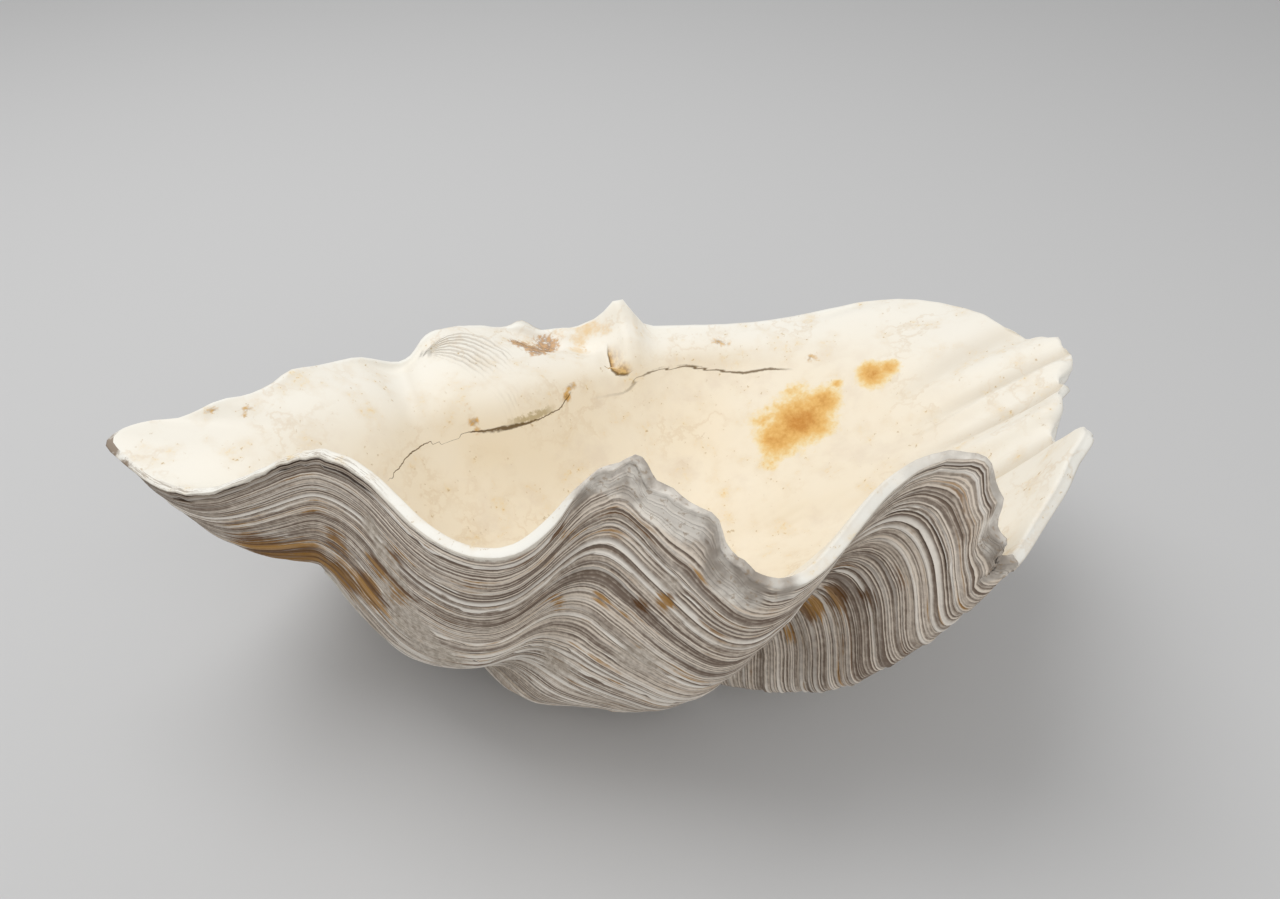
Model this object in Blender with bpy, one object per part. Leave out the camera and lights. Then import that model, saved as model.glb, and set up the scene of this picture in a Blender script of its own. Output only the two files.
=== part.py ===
"""Giant clam shell: one valve lying on its convex outside, with its bowl open upwards.

The valve is described as it grew. Its wavy margin is a closed curve through a few
points on each fold. Every earlier margin was a smaller copy of it, turned and
shifted towards the beak, and together they make the outside. The inside runs from
the margin over the hinge plate and the rolled lip to the edge of the bowl, and down
to the floor of the bowl.
"""
import math

import bmesh
import bpy
import numpy as np
from mathutils.bvhtree import BVHTree

# Sizes are in millimetres and become metres when the mesh is placed
MM = 0.001

# Facets: places round the margin, and rows over the outside, the rim and the inside
PLACES = 110
OUTSIDE_ROWS = 25
RIM_ROWS = 2
SLOPE_ROWS = 8
BOWL_ROWS = 8

# The margin, seen from inside, from the notch left of the beak round the front
MARGIN = (
    # Spout at the left end
    (-121, 44, 100), (-147, 21, 114), (-170, -9, 118), (-203, -29, 119),
    (-223, -43, 117), (-201, -64, 110), (-172, -72, 113),
    # First fold and the second rib
    (-142, -71, 126), (-125, -73, 131), (-106, -83, 128),
    (-82, -104, 120), (-59, -115, 117), (-40, -112, 120), (-22, -101, 133),
    # Second fold and the third rib
    (-3, -102, 150), (13, -113, 141), (31, -127, 127),
    (48, -131, 117), (66, -124, 119), (83, -109, 131), (97, -101, 143),
    # Third fold and the fourth rib
    (113, -101, 151), (124, -112, 142), (127, -124, 127),
    (136, -122, 120), (150, -105, 127), (162, -88, 137),
    # Pointed flap and the small ribs at the right end
    (170, -74, 138), (177, -50, 117), (184, -27, 106), (190, -14, 112),
    (196, 3, 110), (204, 17, 109), (208, 28, 112), (203, 46, 108),
    (190, 65, 104), (181, 88, 99), (165, 110, 95),
    # Back edge along the hinge, and over the beak
    (134, 123, 91), (98, 117, 87), (60, 109, 85), (20, 106, 85),
    (-20, 101, 86), (-50, 93, 89), (-72, 86, 95), (-90, 77, 102), (-106, 63, 104),
)

# The axis that the earlier margins turn about runs along the hinge
HINGE_POINT = np.array((-60.0, 97.0, 85.0))
HINGE_TURN = math.radians(12)
ALONG = np.array((math.cos(HINGE_TURN), math.sin(HINGE_TURN), 0.0))
FORWARD = np.array((math.sin(HINGE_TURN), -math.cos(HINGE_TURN), 0.0))
UP = np.array((0.0, 0.0, 1.0))

# Growth, from today's margin back to the beak: age, width, reach, turn about the hinge
# and swing to the front of the left end in degrees, shifts along, back and down, and
# how far the folds have drifted
GROWTH = (
    (0.00, 1.00, 1.00, 0, 0, 0, 0, 0, 0.0),
    (0.10, 0.88, 0.97, 11, 2, -17, 0, 3, 0.4),
    (0.20, 0.77, 0.93, 22, 5, -37, 1, 5, 0.8),
    (0.35, 0.60, 0.82, 33, 8, -60, 3, 8, 1.0),
    (0.50, 0.46, 0.61, 46, 9, -66, 6, 10, 0.5),
    (0.65, 0.34, 0.42, 66, 8, -61, 9, 11, 0.15),
    (0.80, 0.22, 0.26, 96, 6, -54, 12, 11, 0.0),
    (0.92, 0.10, 0.12, 130, 3, -48, 14, 10, 0.0),
    (1.00, 0.02, 0.02, 155, 0, -44, 15, 9, 0.0),
)

# Where the folds of the older margins stood: place and half width along the margin,
# and shifts along, forward and up
DRIFTS = (
    (5.2, 1.75, 10.5, 0.5, 26.5),
    (9.7, 2.4, -20, -13.5, 4),
    (14.2, 1.5, -12.5, 16, -17),
    (20.5, 2.6, 2, -8, 6.5),
)

# Edge of the bowl: place along the margin, point, and how far the shell rolls over it
BOWL_EDGE = (
    (0.0, -105, 2, 80, 1.0), (3.5, -115, -22, 80, 0.7), (6.5, -118, -42, 72, 0.4),
    (8.0, -112, -55, 60, 0.1), (11.0, -78, -78, 42, 0.0), (14.0, -38, -80, 34, 0.0),
    (17.0, 0, -82, 30, 0.0), (21.0, 52, -70, 34, 0.0), (24.0, 85, -62, 40, 0.0),
    (27.0, 105, -40, 48, 0.0), (30.0, 118, -10, 55, 0.0), (33.0, 125, 20, 60, 0.0),
    (36.0, 118, 50, 65, 0.2), (38.5, 102, 74, 69, 0.8), (40.0, 62, 81, 70, 1.0),
    (41.0, 22, 83, 70, 1.0), (42.0, -12, 62, 73, 1.0), (43.0, -34, 47, 79, 1.0),
    (44.0, -50, 27, 80, 1.0), (45.0, -72, 14, 80, 1.0), (46.0, -92, 10, 80, 1.0),
)

# Below its edge the bowl is this deep, rounder where the shell rolls over the edge
BOWL_DEPTH = 37.0
BOWL_CURVE = 2.0
ROLLED_CURVE = 2.5

# Walls
RIM_THICKNESS = 7.5
RIM_CROWN = 1.5
THIN_WALL = 6.5
THICK_WALL = 10.0

# How far the inner slope runs on straight at the rim and at the bowl, and how far it
# drops where it rolls over, all as shares of its length
SLOPE_LEAVE = 0.42
SLOPE_ARRIVE = 0.30
ROLL_DROP = 0.35

# The rim leans in along a growth step of this age
STEP_AGE = 0.03

# The inner side is eased this many times where it was moved in to keep its wall
EASINGS = 5

# Teeth and hollows of the hinge: middle, half sizes along x and y, and height
HINGE_BUMPS = (
    (-11, 100, 11, 9, 17), (-9, 84, 9, 12, 10), (-60, 98, 7, 6, 6),
    (-48, 92, 13, 8, -5), (-14, 76, 6, 6, -6),
)

# The belly is worn flat at this height, and the shell rests there
FLOOR = -18.7


def closed_curve(points, place):
    """Points of the smooth closed curve through points, at places counted in points."""
    points = np.asarray(points, float)
    count = len(points)
    share = (4 + 2 * np.cos(2 * np.pi * np.arange(count) / count)) / 6
    control = np.fft.ifft(np.fft.fft(points, axis=0) / share[:, None], axis=0).real
    first = np.floor(place).astype(int)
    f = np.asarray(place - first)[..., None]
    weights = ((1 - f) ** 3, 3 * f ** 3 - 6 * f ** 2 + 4,
               -3 * f ** 3 + 3 * f ** 2 + 3 * f + 1, f ** 3)
    return sum(w * control[(first + k - 1) % count] for k, w in enumerate(weights)) / 6


def between_rows(table, at):
    """Values of a table at given places, on a smooth curve through its rows."""
    table = np.asarray(table, float)
    x, y = table[:, 0], table[:, 1:]
    step = np.diff(x)
    slope = np.diff(y, axis=0) / step[:, None]
    tangent = np.vstack((slope[:1], (slope[:-1] + slope[1:]) / 2, slope[-1:]))
    i = np.clip(np.searchsorted(x, at, side="right") - 1, 0, len(step) - 1)
    f = ((at - x[i]) / step[i])[..., None]
    h = step[i][..., None]
    return ((1 + 2 * f) * (1 - f) ** 2 * y[i] + f * (1 - f) ** 2 * h * tangent[i]
            + f ** 2 * (3 - 2 * f) * y[i + 1] - f ** 2 * (1 - f) * h * tangent[i + 1])


def turned(x, y, degrees):
    """Two coordinates turned in their plane."""
    angle = np.radians(degrees)
    return x * np.cos(angle) - y * np.sin(angle), y * np.cos(angle) + x * np.sin(angle)


def margin_at(age, place):
    """The margin as it was at an age from 0, today, to 1, the beak."""
    stage = np.moveaxis(between_rows(GROWTH, age), -1, 0)
    width, reach, turn, swing, along, back, down, drifted = stage
    away = closed_curve(MARGIN, place) - HINGE_POINT
    a, c, h = away @ ALONG * width, away @ FORWARD, away @ UP
    c, h = turned(c, h, -turn)
    c, h = c * reach, h * reach
    a, c = turned(a, c, -swing)
    a, c, h = a + along, c - back, h - down
    for middle, half_width, drift_along, drift_forward, drift_up in DRIFTS:
        share = drifted * np.exp(-((place - middle) / half_width) ** 2)
        a, c, h = a + drift_along * share, c + drift_forward * share, h + drift_up * share
    return HINGE_POINT + a[..., None] * ALONG + c[..., None] * FORWARD + h[..., None] * UP


def unit(vectors):
    return vectors / np.linalg.norm(vectors, axis=-1, keepdims=True)


def outside(ages, places):
    """Rows of points from the beak to the margin."""
    age, place = np.meshgrid(ages, places, indexing="ij")
    return margin_at(age, place)


def bowl_edge(places):
    """Edge of the bowl and its roll, at places along the margin."""
    table = np.array(BOWL_EDGE, float)
    known = np.append(table[:, 0], len(MARGIN))
    turn = np.interp(places, known, np.arange(len(known)))
    edge = closed_curve(table[:, 1:], turn)
    return edge[:, :3], np.clip(edge[:, 3], 0, 1)[:, None]


def rim_and_slope(places, rim_rows, slope_rows):
    """Rows over the rim and down the inner slope to the edge of the bowl."""
    margin = margin_at(np.zeros(len(places)), places)
    step_in = margin_at(np.full(len(places), STEP_AGE), places) - margin
    following = np.roll(margin, -1, axis=0) - np.roll(margin, 1, axis=0)
    inward = unit(np.cross(following, step_in))
    edge, roll = bowl_edge(places)
    inward = unit(inward * (1 - roll) + unit((edge - margin) * (1, 1, 0)) * roll)
    inward = unit(inward + np.roll(inward, 1, axis=0) + np.roll(inward, -1, axis=0))
    rim = []
    for k in range(1, rim_rows + 1):
        f = k / rim_rows
        rim.append(margin + inward * RIM_THICKNESS * f + UP * RIM_CROWN * math.sin(math.pi * f))
    start = rim[-1]
    span = edge - start
    length = np.linalg.norm(span, axis=1, keepdims=True)
    leave = unit(step_in) * (1 - roll) + unit(span * (1, 1, 0)) * roll
    leave = leave * length * SLOPE_LEAVE
    arrive = span * SLOPE_ARRIVE * (1 - roll) - UP * ROLL_DROP * length * roll
    slope = []
    for k in range(1, slope_rows + 1):
        f = k / slope_rows
        slope.append((1 - f) ** 3 * start + 3 * (1 - f) ** 2 * f * (start + leave)
                     + 3 * (1 - f) * f ** 2 * (edge - arrive) + f ** 3 * edge)
    return rim, slope


def bowl(places, rows):
    """Rows from the edge of the bowl to the middle of its floor."""
    edge, roll = bowl_edge(places)
    waves = np.fft.fft(edge, axis=0)
    order = np.abs(np.fft.fftfreq(len(places), 1 / len(places)))[:, None]
    curve = BOWL_CURVE + ROLLED_CURVE * roll
    made = []
    for k in range(1, rows + 1):
        f = 1 - k / rows
        ring = np.fft.ifft(waves * f ** order, axis=0).real
        ring[:, 2:] -= BOWL_DEPTH * (1 - f ** curve)
        made.append(ring)
    return made


def bump(points, x, y, half_x, half_y, height):
    """How far a rounded bump of the hinge lifts points."""
    far = ((points[..., 0] - x) / half_x) ** 2 + ((points[..., 1] - y) / half_y) ** 2
    return height * np.exp(-far)


def keep_wall(inside, outer, walls):
    """Inner rows moved in where the wall to the outer rows would be too thin."""
    rows, count = outer.shape[:2]
    corners = outer.reshape(-1, 3).tolist()
    faces = []
    for i in range(rows - 1):
        for j in range(count):
            k = (j + 1) % count
            faces.append((i * count + j, i * count + k, (i + 1) * count + k, (i + 1) * count + j))
    tree = BVHTree.FromPolygons(corners, faces)
    for row, wall in zip(inside, walls):
        for point in row:
            near, normal, _, _ = tree.find_nearest(point.tolist())
            near, normal = np.array(near), np.array(normal)
            away = point - near
            if away @ normal > 0:
                point[:] = near - normal * wall
            elif np.linalg.norm(away) < wall:
                point[:] = near + unit(away) * wall


def smoothed(rows):
    """Inner rows between the first and the last, eased towards their neighbours."""
    rows = np.array(rows)
    beside = np.roll(rows, 1, axis=1) + np.roll(rows, -1, axis=1)
    mean = (rows[:-2] + rows[2:] + beside[1:-1]) / 4
    rows[1:-1] = (rows[1:-1] + mean) / 2
    return list(rows)


def shell_rows():
    """All rows of the closed shell, from the beak over the margin to the bowl's floor."""
    places = np.arange(PLACES) * len(MARGIN) / PLACES
    ages = 1 - np.arange(OUTSIDE_ROWS + 1) / OUTSIDE_ROWS
    outer = outside(ages, places)
    rim, slope = rim_and_slope(places, RIM_ROWS, SLOPE_ROWS)
    inside = slope + bowl(places, BOWL_ROWS)
    down_slope = np.minimum(np.arange(len(inside)) / SLOPE_ROWS, 1)
    walls = THIN_WALL + (THICK_WALL - THIN_WALL) * down_slope
    for _ in range(EASINGS):
        keep_wall(inside, outer, walls)
        inside = smoothed([rim[-1]] + inside)[1:]
    keep_wall(inside, outer, walls)
    inner = np.array(rim + inside)
    inner[..., 2] += sum(bump(inner, *values) for values in HINGE_BUMPS)
    return np.concatenate((outer, inner))


def shell():
    """The valve as one closed mesh, shaped from a sphere whose equator is the margin."""
    rows = shell_rows()
    rows[..., 2] = np.maximum(rows[..., 2], FLOOR)
    lowest, highest = rows.min(axis=(0, 1)), rows.max(axis=(0, 1))
    rows -= ((lowest + highest) / 2) * (1, 1, 0) + UP * FLOOR
    row_count = len(rows) - 1
    mesh = bmesh.new()
    bmesh.ops.create_uvsphere(mesh, u_segments=PLACES, v_segments=row_count, radius=1)
    for vert in mesh.verts:
        row = round(math.acos(max(-1, min(1, vert.co.z))) / math.pi * row_count)
        place = math.floor(math.atan2(vert.co.y, vert.co.x) / math.tau * PLACES) % PLACES
        point = rows[row].mean(axis=0) if row in (0, row_count) else rows[row][place]
        vert.co = point * MM
    if mesh.calc_volume(signed=True) < 0:
        bmesh.ops.reverse_faces(mesh, faces=mesh.faces)
    bmesh.ops.triangulate(mesh, faces=mesh.faces)
    data = bpy.data.meshes.new("shell")
    mesh.to_mesh(data)
    mesh.free()
    data.shade_smooth()
    piece = bpy.data.objects.new("shell", data)
    bpy.context.collection.objects.link(piece)
    return piece


def nacre():
    """Chalky white shell."""
    material = bpy.data.materials.new("shell_white")
    material.use_nodes = True
    look = material.node_tree.nodes["Principled BSDF"].inputs
    look["Base Color"].default_value = (0.82, 0.76, 0.66, 1)
    look["Roughness"].default_value = 0.55
    look["Metallic"].default_value = 0
    return material


def main():
    for thing in list(bpy.data.objects):
        bpy.data.objects.remove(thing)
    piece = shell()
    piece.data.materials.append(nacre())


main()
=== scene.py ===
"""Giant clam shell, one valve lying bowl up: its looks.

The valve is described as it grew, like the solid that it stands for, with finer
facets. Growth lines, chips, folds and teeth are raised on it, and attributes tell the
material where the outside, the rim, the bowl and each mark are.
"""

import math
from types import SimpleNamespace

import bpy
import numpy as np
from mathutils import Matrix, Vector, noise
from mathutils.bvhtree import BVHTree


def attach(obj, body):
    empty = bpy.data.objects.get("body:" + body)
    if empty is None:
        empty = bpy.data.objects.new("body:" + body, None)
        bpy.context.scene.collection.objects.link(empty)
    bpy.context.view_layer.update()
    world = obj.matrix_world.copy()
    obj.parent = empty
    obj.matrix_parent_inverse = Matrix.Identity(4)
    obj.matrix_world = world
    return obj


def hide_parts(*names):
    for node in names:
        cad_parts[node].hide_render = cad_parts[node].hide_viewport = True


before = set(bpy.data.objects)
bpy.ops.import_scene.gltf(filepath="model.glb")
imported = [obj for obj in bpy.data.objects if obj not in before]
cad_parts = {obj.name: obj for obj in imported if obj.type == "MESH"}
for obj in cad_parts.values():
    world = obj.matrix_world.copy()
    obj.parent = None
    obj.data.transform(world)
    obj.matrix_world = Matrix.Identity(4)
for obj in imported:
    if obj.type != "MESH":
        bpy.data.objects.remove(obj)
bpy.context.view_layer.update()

# Sizes are in millimetres and become metres when the mesh is placed
MM = 0.001

# Facets: places round the margin, and rows over the outside, the rim and the inside
PLACES = 330
OUTSIDE_ROWS = 212
RIM_ROWS = 7
SLOPE_ROWS = 50
BOWL_ROWS = 30

# The solid's facets, on which its inner side is worked out
SOLID_PLACES = 110
SOLID_OUTSIDE_ROWS = 25
SOLID_RIM_ROWS = 2
SOLID_SLOPE_ROWS = 8
SOLID_BOWL_ROWS = 8

# The margin, seen from inside, from the notch left of the beak round the front
MARGIN = (
    # Spout at the left end
    (-121, 44, 100), (-147, 21, 114), (-170, -9, 118), (-203, -29, 119),
    (-223, -43, 117), (-201, -64, 110), (-172, -72, 113),
    # First fold and the second rib
    (-142, -71, 126), (-125, -73, 131), (-106, -83, 128),
    (-82, -104, 120), (-59, -115, 117), (-40, -112, 120), (-22, -101, 133),
    # Second fold and the third rib
    (-3, -102, 150), (13, -113, 141), (31, -127, 127),
    (48, -131, 117), (66, -124, 119), (83, -109, 131), (97, -101, 143),
    # Third fold and the fourth rib
    (113, -101, 151), (124, -112, 142), (127, -124, 127),
    (136, -122, 120), (150, -105, 127), (162, -88, 137),
    # Pointed flap and the small ribs at the right end
    (170, -74, 138), (177, -50, 117), (184, -27, 106), (190, -14, 112),
    (196, 3, 110), (204, 17, 109), (208, 28, 112), (203, 46, 108),
    (190, 65, 104), (181, 88, 99), (165, 110, 95),
    # Back edge along the hinge, and over the beak
    (134, 123, 91), (98, 117, 87), (60, 109, 85), (20, 106, 85),
    (-20, 101, 86), (-50, 93, 89), (-72, 86, 95), (-90, 77, 102), (-106, 63, 104),
)

# The axis that the earlier margins turn about runs along the hinge
HINGE_POINT = np.array((-60.0, 97.0, 85.0))
HINGE_TURN = math.radians(12)
ALONG = np.array((math.cos(HINGE_TURN), math.sin(HINGE_TURN), 0.0))
FORWARD = np.array((math.sin(HINGE_TURN), -math.cos(HINGE_TURN), 0.0))
UP = np.array((0.0, 0.0, 1.0))

# Growth, from today's margin back to the beak: age, width, reach, turn about the hinge
# and swing to the front of the left end in degrees, shifts along, back and down, and
# how far the folds have drifted
GROWTH = (
    (0.00, 1.00, 1.00, 0, 0, 0, 0, 0, 0.0),
    (0.10, 0.88, 0.97, 11, 2, -17, 0, 3, 0.4),
    (0.20, 0.77, 0.93, 22, 5, -37, 1, 5, 0.8),
    (0.35, 0.60, 0.82, 33, 8, -60, 3, 8, 1.0),
    (0.50, 0.46, 0.61, 46, 9, -66, 6, 10, 0.5),
    (0.65, 0.34, 0.42, 66, 8, -61, 9, 11, 0.15),
    (0.80, 0.22, 0.26, 96, 6, -54, 12, 11, 0.0),
    (0.92, 0.10, 0.12, 130, 3, -48, 14, 10, 0.0),
    (1.00, 0.02, 0.02, 155, 0, -44, 15, 9, 0.0),
)

# Where the folds of the older margins stood: place and half width along the margin,
# and shifts along, forward and up
DRIFTS = (
    (5.2, 1.75, 10.5, 0.5, 26.5),
    (9.7, 2.4, -20, -13.5, 4),
    (14.2, 1.5, -12.5, 16, -17),
    (20.5, 2.6, 2, -8, 6.5),
)

# Edge of the bowl: place along the margin, point, and how far the shell rolls over it
BOWL_EDGE = (
    (0.0, -105, 2, 80, 1.0), (3.5, -115, -22, 80, 0.7), (6.5, -118, -42, 72, 0.4),
    (8.0, -112, -55, 60, 0.1), (11.0, -78, -78, 42, 0.0), (14.0, -38, -80, 34, 0.0),
    (17.0, 0, -82, 30, 0.0), (21.0, 52, -70, 34, 0.0), (24.0, 85, -62, 40, 0.0),
    (27.0, 105, -40, 48, 0.0), (30.0, 118, -10, 55, 0.0), (33.0, 125, 20, 60, 0.0),
    (36.0, 118, 50, 65, 0.2), (38.5, 102, 74, 69, 0.8), (40.0, 62, 81, 70, 1.0),
    (41.0, 22, 83, 70, 1.0), (42.0, -12, 62, 73, 1.0), (43.0, -34, 47, 79, 1.0),
    (44.0, -50, 27, 80, 1.0), (45.0, -72, 14, 80, 1.0), (46.0, -92, 10, 80, 1.0),
)

# Below its edge the bowl is this deep, rounder where the shell rolls over the edge
BOWL_DEPTH = 37.0
BOWL_CURVE = 2.0
ROLLED_CURVE = 2.5

# Walls, with the rim worn thinner than the solid's
RIM_THICKNESS = 5.2
RIM_CROWN = 0.8
THIN_WALL = 5.2
THICK_WALL = 10.0

# How far the inner slope runs on straight at the rim and at the bowl, and how far it
# drops where it rolls over, all as shares of its length
SLOPE_LEAVE = 0.42
SLOPE_ARRIVE = 0.30
ROLL_DROP = 0.35

# The rim leans in along a growth step of this age
STEP_AGE = 0.03

# The inner side is eased this many times where it was moved in to keep its wall
EASINGS = 5

# The belly is worn flat at this height, and the shell rests there
FLOOR = -18.7

# Middle of the design's box, which the finished frame is centred on
CENTRE = np.array((-7.357, -3.946, FLOOR))

# Where the outside's rows lie: this share of them covers growth up to this age
FINE_SHARE = 0.80
FINE_AGE = 0.42

# Growth lines: least and most spacing on the front ribs of the raised lines and of the
# fine ones between them, the greatest height of the raised ones, and the spacing and
# height of the broad ledges
LINE_PITCHES = (2.1, 5.6)
FINE_PITCHES = (0.9, 2.3)
LINE_HEIGHT = 1.0
LINE_COUNT = 420
LINE_SEED = 11
LEDGE_PITCH = 21.0
LEDGE_HEIGHT = 1.0

# Waves of the growth lines, of their strength, of the ledges and of the broken
# stretches, and lumps of the outside and the inside: height, size and seed
LINE_WAVES = ((0.7, 30.0, 0.0), (0.35, 9.0, 6.0))
STRENGTH_WAVES = ((0.9, 26.0, 5.0),)
LEDGE_WAVES = ((0.3, 90.0, 3.0),)
BROKEN_WAVES = ((4.0, 12.0, 4.0),)
BROKEN_PITS = ((1.8, 8.0, 9.0),)
OUTER_LUMPS = ((0.3, 9.0, 1.0), (0.8, 35.0, 2.0))
INNER_LUMPS = ((0.35, 22.0, 7.0), (0.10, 6.0, 8.0))

# Behind today's margin, lines, lumps and the drop behind the hinge set in over this
# much growth
LINES_SET_IN = 3.0
LUMPS_SET_IN = 6.0
DROP_SETS_IN = 8.0

# Growth steps as shares of the front's: lines are gone up to the first and whole from
# the second
CROWDED = (0.12, 0.5)

# The lines are stronger and weaker in patches: the usual strength, and its limits
PATCHY_STRENGTH = 0.75
PATCHY_LIMITS = (0.1, 1.3)

# Broken stretches are at least this deep
BROKEN_DEPTH = 1.0

# Stretches of the margin along the hinge and along the spout: where each begins, is
# whole, begins to fade and ends
HINGE_STRETCH = (37.0, 38.5, 45.5, 47.0)
SPOUT_STRETCH = (4.2, 4.9, 8.8, 9.6)

# The ribbed fan at the right end starts at this place of the margin
FAN_START = 20

# Along the hinge the outside drops this far behind the margin
BACK_DROP = 5.0

# The stretch of the margin that growth is measured on
FRONT_PLACES = (8, 30)

# Chips, tips and small waves of today's margin: place and half width along it, and
# shifts along, forward and up
CHIPS = (
    (0.55, 0.35, 0, 0, 3.5), (1.6, 0.28, 0, 0, 4.5), (2.05, 0.15, 0, 0, 1.5),
    (2.45, 0.22, 0, 0, 3.0), (3.0, 0.2, 0, 0, -2.0), (4.1, 0.3, -3, 0, 0),
    (13.2, 0.45, -2, 0, 2.5), (13.95, 0.2, 0, 0, 2.0), (14.5, 0.24, -2.5, 0, -5.0),
    (15.45, 0.26, 5.0, 0, 4.5), (21.4, 0.35, 4.0, 0, 3.0), (22.5, 0.28, -3.5, 0, 0),
    (22.1, 0.14, 2.5, 0, 1.5), (22.85, 0.16, 3.0, 0, 0), (23.2, 0.14, -3.0, 0, 1.0),
    (23.7, 0.2, 2.5, 0, 1.5), (25.6, 0.6, 3.0, 0, 0), (26.6, 0.45, 4.5, 0, 2.5),
    (27.1, 0.25, 3.0, 0, 3.0),
    (30.78, 0.16, 3.5, 0, 2.0), (31.35, 0.2, -2.0, 0, 0), (30.35, 0.14, -1.5, 0, 0),
    (33.7, 0.12, 2.0, 0, 1.5), (34.4, 0.25, 0, 0, -4.5), (35.8, 0.4, 0, 0, 1.5),
    (43.6, 0.3, 0, 0, 6.0), (46.2, 0.5, -2, 0, 3.0),
)
CHIP_REACH = 12.0
CHIP_ROWS = 3.0

# Ragged stretches of the margin: first and last place, and roughness in millimetres
RAGGED = (
    (0, 47, 0.5), (4.4, 9.3, 1.8), (12.8, 16.8, 2.2), (19.3, 23.4, 1.8), (26, 34.5, 1.4),
)
RAGGED_END = 0.4

# Jags of a ragged stretch: how many to a place, seed and strength, and how far they
# lean forward
JAGS = ((3.1, 0.0, 1.0), (7.3, 5.0, 0.6))
JAG_LEAN = 0.4

# Soft folds that run down the inside from the margin: place, half width and height
INNER_FOLDS = (
    (28.3, 0.36, -2.6), (29.6, 0.48, 5.0), (30.8, 0.30, -2.6), (31.9, 0.48, 6.0),
    (33.1, 0.30, -2.4), (34.0, 0.40, 2.0), (34.8, 0.40, -2.0), (0.2, 0.4, -2.0),
    (45.6, 0.5, 1.0),
)

# Rows down the inside where these folds begin, are whole, begin to fade and end
FOLD_ROWS = (0.5, 2.5, 4.5, 9.5)

# Teeth and hollows of the hinge: middle, half sizes along x and y, height, and how
# square their edges are
HINGE_BUMPS = (
    (-11, 100, 9, 9, 15, 1.0), (-22, 98, 14, 7, 6, 1.0), (-6, 84, 8, 13, 9, 1.2),
    (-54, 80, 14, 10, -6, 1.6), (-30, 82, 8, 9, -4, 1.5), (-42, 90, 7, 5, 2.5, 1.2),
    (-15, 74, 4.5, 8, -6, 1.6), (-56, 97, 9, 6, 4, 1.2), (-2, 69, 7, 5, 2.5, 1.2),
)

# Grooves between the first and the last line of the rolled lip. Each of the two lines
# is a parabola: y of its top, x of its top, and bend
LIP_GROOVES = 6
LIP_LINES = ((51.0, -98.0, 0.0139), (69.5, -78.0, 0.035))

# Where the grooves begin, are whole, begin to fade and end, across them as shares of
# their width and along x, and where they begin and are whole in height
LIP_ACROSS = (-0.35, 0.0, 1.0, 1.3)
LIP_ALONG = (-106.0, -99.0, -62.0, -50.0)
LIP_UP = (95.0, 108.0)

# Marks, in the finished frame: middle, radius and strength. On calm patches the growth
# lines are faint
ORANGE_STAINS = (
    (92, 51, 82, 27, 1.0), (80, 44, 74, 19, 0.9), (104, 58, 88, 15, 0.8),
    (72, 55, 77, 10, 0.6), (89, 66, 88, 11, 0.5), (78, 34, 69, 10, 0.5),
    (129, 65, 101, 14, 1.0), (138, 65, 105, 10, 0.9), (112, 65, 94, 5, 0.7),
)
BROWN_STAINS = (
    (-156, -68, 105, 16, 0.7), (-148, -66, 96, 20, 1.0), (-134, -65, 92, 22, 1.0),
    (-120, -69, 86, 21, 1.0), (-106, -80, 88, 19, 1.0), (-118, -73, 106, 14, 0.6),
    (-97, -87, 106, 14, 0.7), (-90, -93, 97, 14, 0.7), (-88, -93, 119, 8, 0.4),
    (-24, -103, 105, 7, 0.5), (-8, -111, 116, 8, 0.5), (7, -116, 116, 6, 0.7),
    (17, -118, 121, 6, 0.8), (-22, -101, 138, 6, 0.5), (79, -87, 84, 11, 0.8),
    (88, -89, 96, 10, 0.9), (97, -98, 104, 9, 0.6), (72, -84, 64, 9, 0.5),
    (30, -121, 136, 8, 0.5), (-214, -42, 134, 10, 1.0),
)
OCHRE_SPOTS = (
    (-179, -20, 139, 4, 0.8), (-166, -18, 136, 4, 0.7), (-22, 86, 106, 7, 0.7),
    (-30, 46, 99, 5, 1.0), (-28, 51, 102, 5, 0.9), (-74, 19, 103, 5, 0.9),
    (-72, 17, 99, 4, 0.8), (-77, 23, 108, 5, 0.5),
    (100, 85, 98, 6, 0.7), (50, 96, 102, 5, 0.7), (55, 95, 101, 4, 0.6),
)
CHALKY_PATCHES = (
    (-98, -84, 126, 11, 0.9), (-93, -89, 114, 15, 1.1), (-91, -92, 103, 18, 1.2),
    (-89, -94, 93, 20, 1.2), (-86, -96, 83, 20, 1.2), (-80, -98, 72, 20, 1.1),
    (-77, -95, 62, 16, 0.9), (7, -117, 87, 20, 0.7),
    (-25, -107, 76, 22, 0.7), (25, -117, 98, 14, 0.6), (20, -116, 128, 9, 0.5),
)
CALM_PATCHES = (
    (65, -82, 51, 28, 0.9), (78, -90, 62, 30, 1.0), (92, -101, 78, 30, 1.0),
    (106, -110, 98, 28, 0.8), (118, -116, 116, 22, 0.5), (95, -98, 60, 28, 0.9),
)
SOCKET_STAINS = (
    (-26, 84, 106, 10, 1.0), (-26, 92, 105, 9, 0.9), (-23, 99, 107, 10, 0.9),
    (-18, 97, 109, 10, 0.8), (-13, 95, 111, 9, 0.7), (-50, 80, 111, 17, 0.9),
    (-38, 97, 106, 12, 0.8),
)
SCAB_STAINS = (
    (-51, 76, 112, 12, 1.0), (-46, 79, 110, 12, 1.0), (-43, 87, 107, 11, 0.9),
    (-48, 69, 112, 9, 0.8), (-56, 77, 113, 9, 0.9),
)
TIP_DIRT = ((-215, -42, 134, 11, 1.0), (-207, -50, 130, 8, 0.8))

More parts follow.
